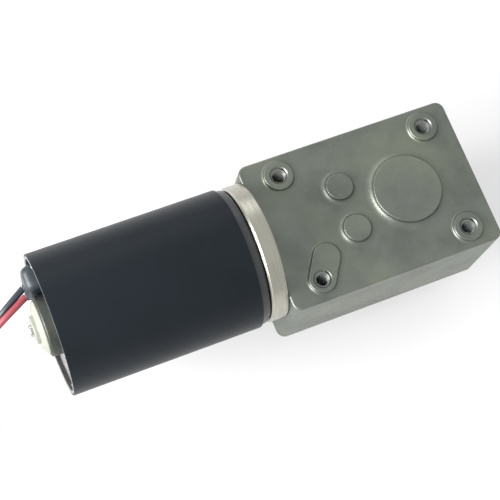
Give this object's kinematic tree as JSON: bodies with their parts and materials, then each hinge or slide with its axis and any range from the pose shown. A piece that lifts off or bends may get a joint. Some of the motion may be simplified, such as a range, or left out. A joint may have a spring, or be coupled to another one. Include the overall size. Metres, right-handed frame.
{
  "type": "geared dc motor",
  "caption": "Small brushed DC motor on a right-angle worm gearbox, with a D-flat output shaft and a bare two-wire lead pair.",
  "frame": {"origin": "on the output shaft's axis, in the plane of the mounting face that the shaft comes out of", "axes": "+Z from the mounting face to the blind face with the raised bosses; +X away from the motor, whose axis lies along X"},
  "size_m": [0.1644, 0.0433, 0.0538],
  "materials": {
    "housing": "fine-grained zinc die casting with a grey-green tone",
    "cover": "die-cast zinc plate",
    "screws": "zinc-plated steel",
    "steel": "ground steel",
    "spring_steel": "blackened spring steel",
    "output_gear": "sintered steel",
    "pinion": "machined steel",
    "second_gear": "sintered steel",
    "wheel": "machined bronze",
    "worm": "rolled steel",
    "bush": "oil-filled sintered bronze",
    "washer": "natural nylon",
    "ring": "turned, with fine circular tool marks",
    "can": "dark lacquered steel",
    "sleeve": "black coated steel with a soft sheen",
    "end_plate": "yellowish zinc-plated steel",
    "cap": "cream nylon",
    "magnet": "sintered ferrite",
    "core": "stacked electrical steel",
    "copper": "enamelled copper wire",
    "commutator": "copper bars in black resin",
    "carbon": "pressed carbon",
    "brush_arm": "spring brass",
    "holder": "black moulded nylon",
    "grommet": "black moulded boot, slightly glossy",
    "red_lead": "soft red insulation",
    "black_lead": "soft black insulation",
    "tin": "tinned copper strands",
    "tie": "black nylon band"
  },
  "bodies": {
    "motor": {"gearbox_housing": "housing", "gearbox_cover": "cover", "cover_screws": "screws", "output_washer": "washer", "output_front_bush": "bush", "output_rear_bush": "bush", "first_gear_pin": "steel", "second_gear_pin": "steel", "pin_clip": "spring_steel", "worm_tail_bush": "bush", "adapter_ring": "ring", "flange_screws": "screws", "motor_screws": "screws", "motor_can": "can", "motor_sleeve": "sleeve", "end_plate": "end_plate", "rear_cap": "cap", "motor_front_bush": "bush", "motor_rear_bush": "bush", "magnets": "magnet", "magnet_springs": "spring_steel", "brush_holder": "holder", "brushes": "carbon", "brush_arms": "brush_arm", "lead_grommet": "grommet", "red_lead": "red_lead", "black_lead": "black_lead", "red_lead_coil": "red_lead", "black_lead_coil": "black_lead", "red_lead_end": "tin", "black_lead_end": "tin", "lead_tie": "tie"},
    "armature": {"armature_shaft": "steel", "armature_core": "core", "armature_windings": "copper", "commutator": "commutator", "armature_washers": "washer", "worm": "worm"},
    "worm_wheel": {"worm_wheel": "wheel", "first_pinion": "pinion"},
    "second_gear": {"second_gear": "second_gear", "second_pinion": "pinion"},
    "output": {"output_shaft": "steel", "output_gear": "output_gear", "output_circlip": "spring_steel"}
  },
  "joints": [
    {"name": "armature_spin", "type": "hinge", "parent": "motor", "child": "armature", "pos_m": [0, 0, 0.01875], "axis": [1, 0, 0], "continuous": true},
    {"name": "worm_wheel_spin", "type": "hinge", "parent": "motor", "child": "worm_wheel", "pos_m": [-0.01638, 0.0065, 0.01875], "axis": [0, 0, 1], "continuous": true},
    {"name": "second_gear_spin", "type": "hinge", "parent": "motor", "child": "second_gear", "pos_m": [-0.01638, -0.00525, 0.013], "axis": [0, 0, 1], "continuous": true},
    {"name": "output_spin", "type": "hinge", "parent": "motor", "child": "output", "pos_m": [0, 0, 0], "axis": [0, 0, 1], "continuous": true}
  ],
  "couplings": [
    {"joint": "worm_wheel_spin", "follows": "armature_spin", "ratio": -0.0625},
    {"joint": "second_gear_spin", "follows": "armature_spin", "ratio": 0.021429},
    {"joint": "output_spin", "follows": "armature_spin", "ratio": -0.010345}
  ]
}
